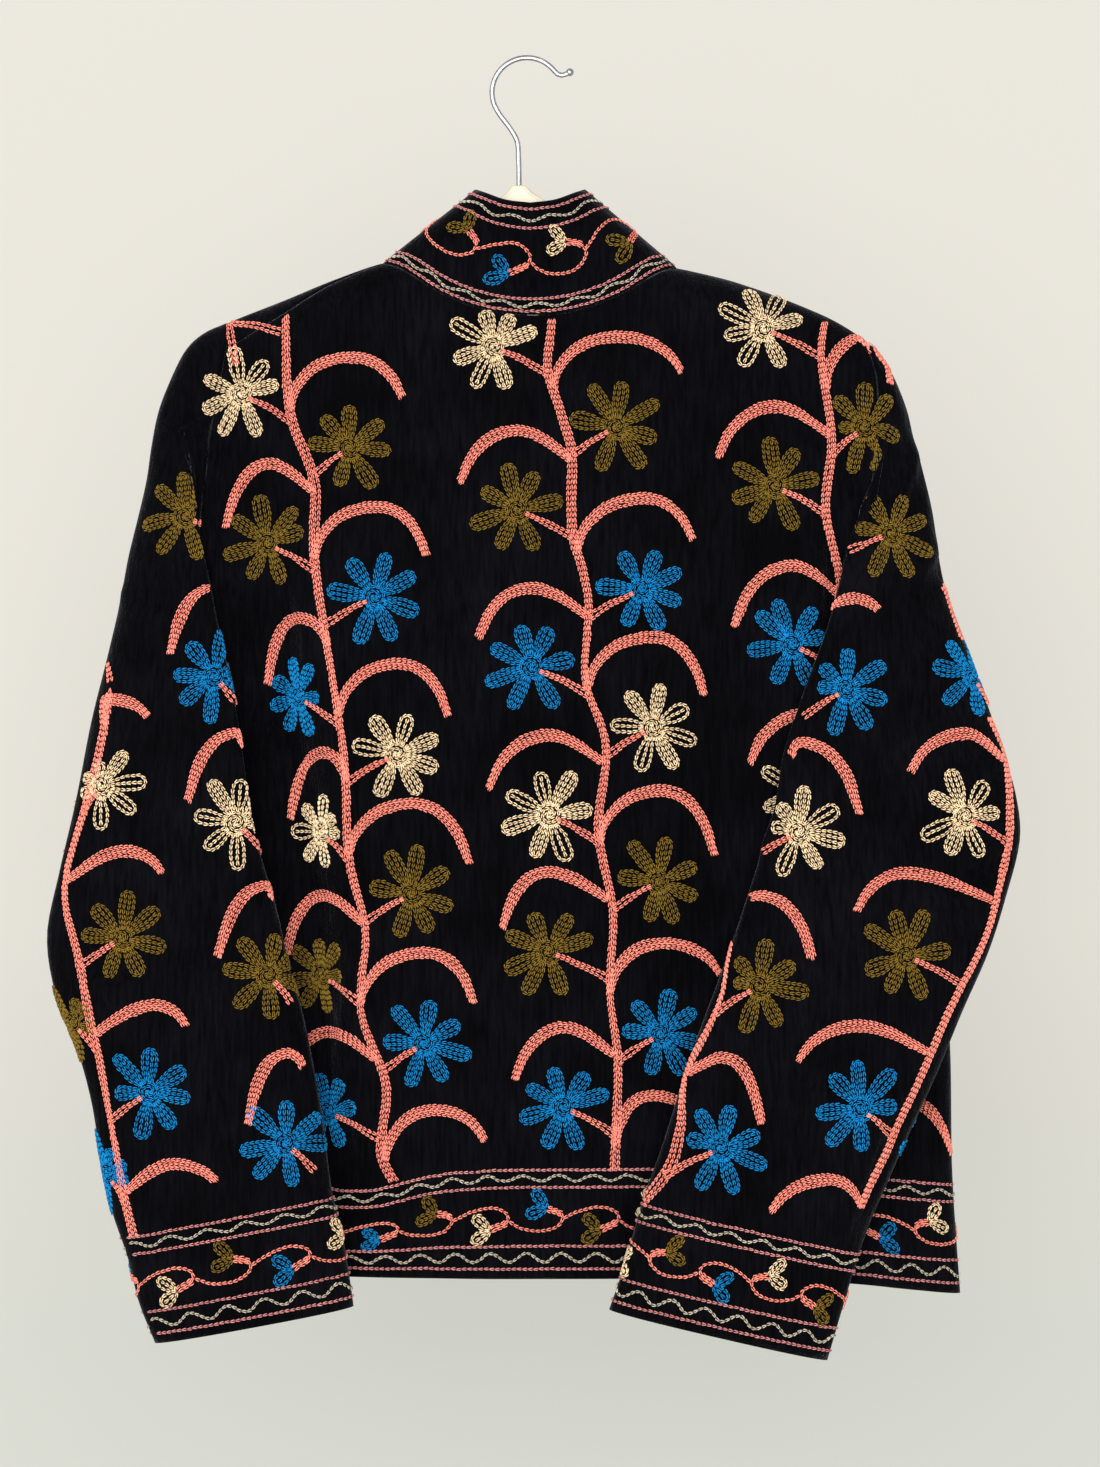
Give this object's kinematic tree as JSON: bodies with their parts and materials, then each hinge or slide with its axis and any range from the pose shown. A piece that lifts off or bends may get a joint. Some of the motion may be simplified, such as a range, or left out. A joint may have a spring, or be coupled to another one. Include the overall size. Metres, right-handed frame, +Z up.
{
  "type": "embroidered jacket on a hanger",
  "caption": "Short velvet jacket with a stand collar and floral chain-stitch embroidery, seen from the back, hung nearly flat on a hanger with a wire hook.",
  "frame": {"origin": "the point inside the top of the hanger's hook that rests on the rail", "axes": "+Z up, the jacket's back faces -Y and its open front +Y, so the wearer's left sleeve is at -X"},
  "size_m": [0.605, 0.097, 0.8142],
  "materials": {
    "velvet": "short-pile black cotton velvet with wool chain-stitch embroidery in coral, cream, olive and blue",
    "wood": "cream painted",
    "wire": "polished"
  },
  "bodies": {
    "root": {"back": "velvet", "left_front": "velvet", "right_front": "velvet", "left_sleeve": "velvet", "right_sleeve": "velvet", "collar": "velvet", "hanger_arms": "wood", "hanger_hook": "wire"}
  },
  "joints": []
}
